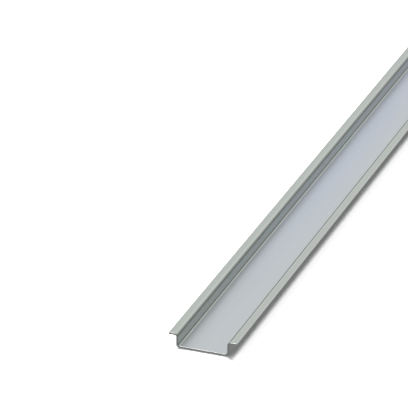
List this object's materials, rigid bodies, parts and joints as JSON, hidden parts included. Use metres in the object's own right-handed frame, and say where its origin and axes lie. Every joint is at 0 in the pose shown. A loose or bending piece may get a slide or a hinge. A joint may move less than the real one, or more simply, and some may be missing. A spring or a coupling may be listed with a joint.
{
  "type": "din rail",
  "caption": "Unperforated top-hat mounting rail in zinc-plated steel: a shallow roll-formed channel with outward flanges that control gear clips onto.",
  "frame": {"origin": "middle of the underside, halfway along the rail and halfway across it", "axes": "+X along the rail, +Y across it, +Z from the underside towards the flange tops"},
  "size_m": [1, 0.035, 0.0075],
  "materials": {
    "zinc_plated_steel": "bright zinc plate, clear passivated, satin with fine rolling streaks along the rail"
  },
  "bodies": {
    "root": {"top_hat_rail": "zinc_plated_steel"}
  },
  "joints": []
}
